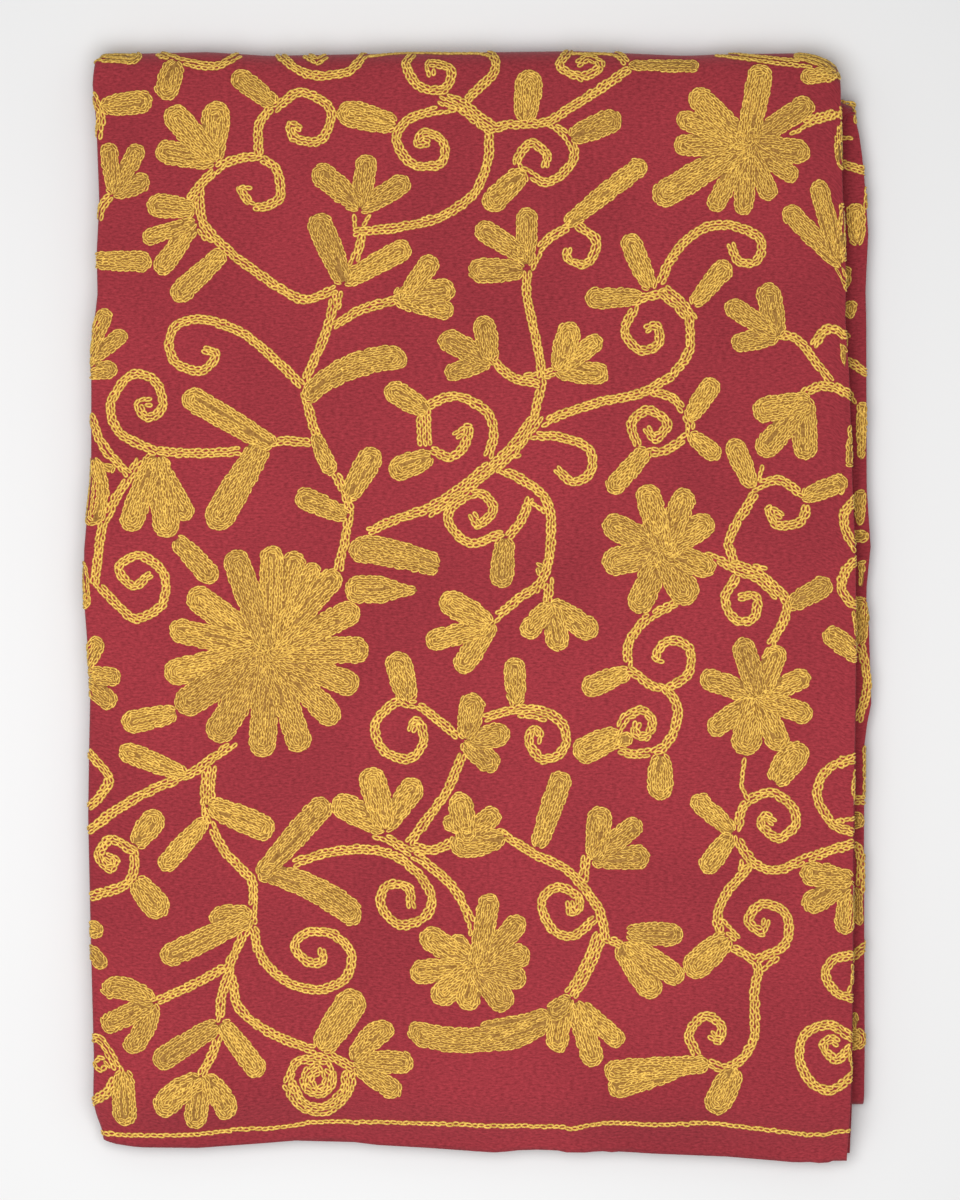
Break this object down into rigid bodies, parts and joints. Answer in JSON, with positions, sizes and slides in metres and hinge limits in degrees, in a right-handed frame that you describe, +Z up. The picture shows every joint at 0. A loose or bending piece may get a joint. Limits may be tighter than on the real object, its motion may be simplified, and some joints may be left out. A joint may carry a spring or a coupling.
{
  "type": "embroidered tablecloth",
  "caption": "Oblong cotton tablecloth with chain-stitched floral embroidery, folded in four each way into a flat packet to lie on a shelf or table.",
  "frame": {"origin": "centre of the underside's box, on the surface the packet lies on", "axes": "+Z up; +Y along the packet from its loose front hem to its top fold; +X towards the side where the folded edges and side hems show"},
  "size_m": [0.3922, 0.5568, 0.0264],
  "materials": {
    "crimson_cotton": "matt plain-weave cotton with a fine crosswise rib",
    "ochre_wool": "soft twisted wool yarn in chain stitch"
  },
  "bodies": {
    "root": {"tablecloth": "crimson_cotton"}
  },
  "joints": []
}
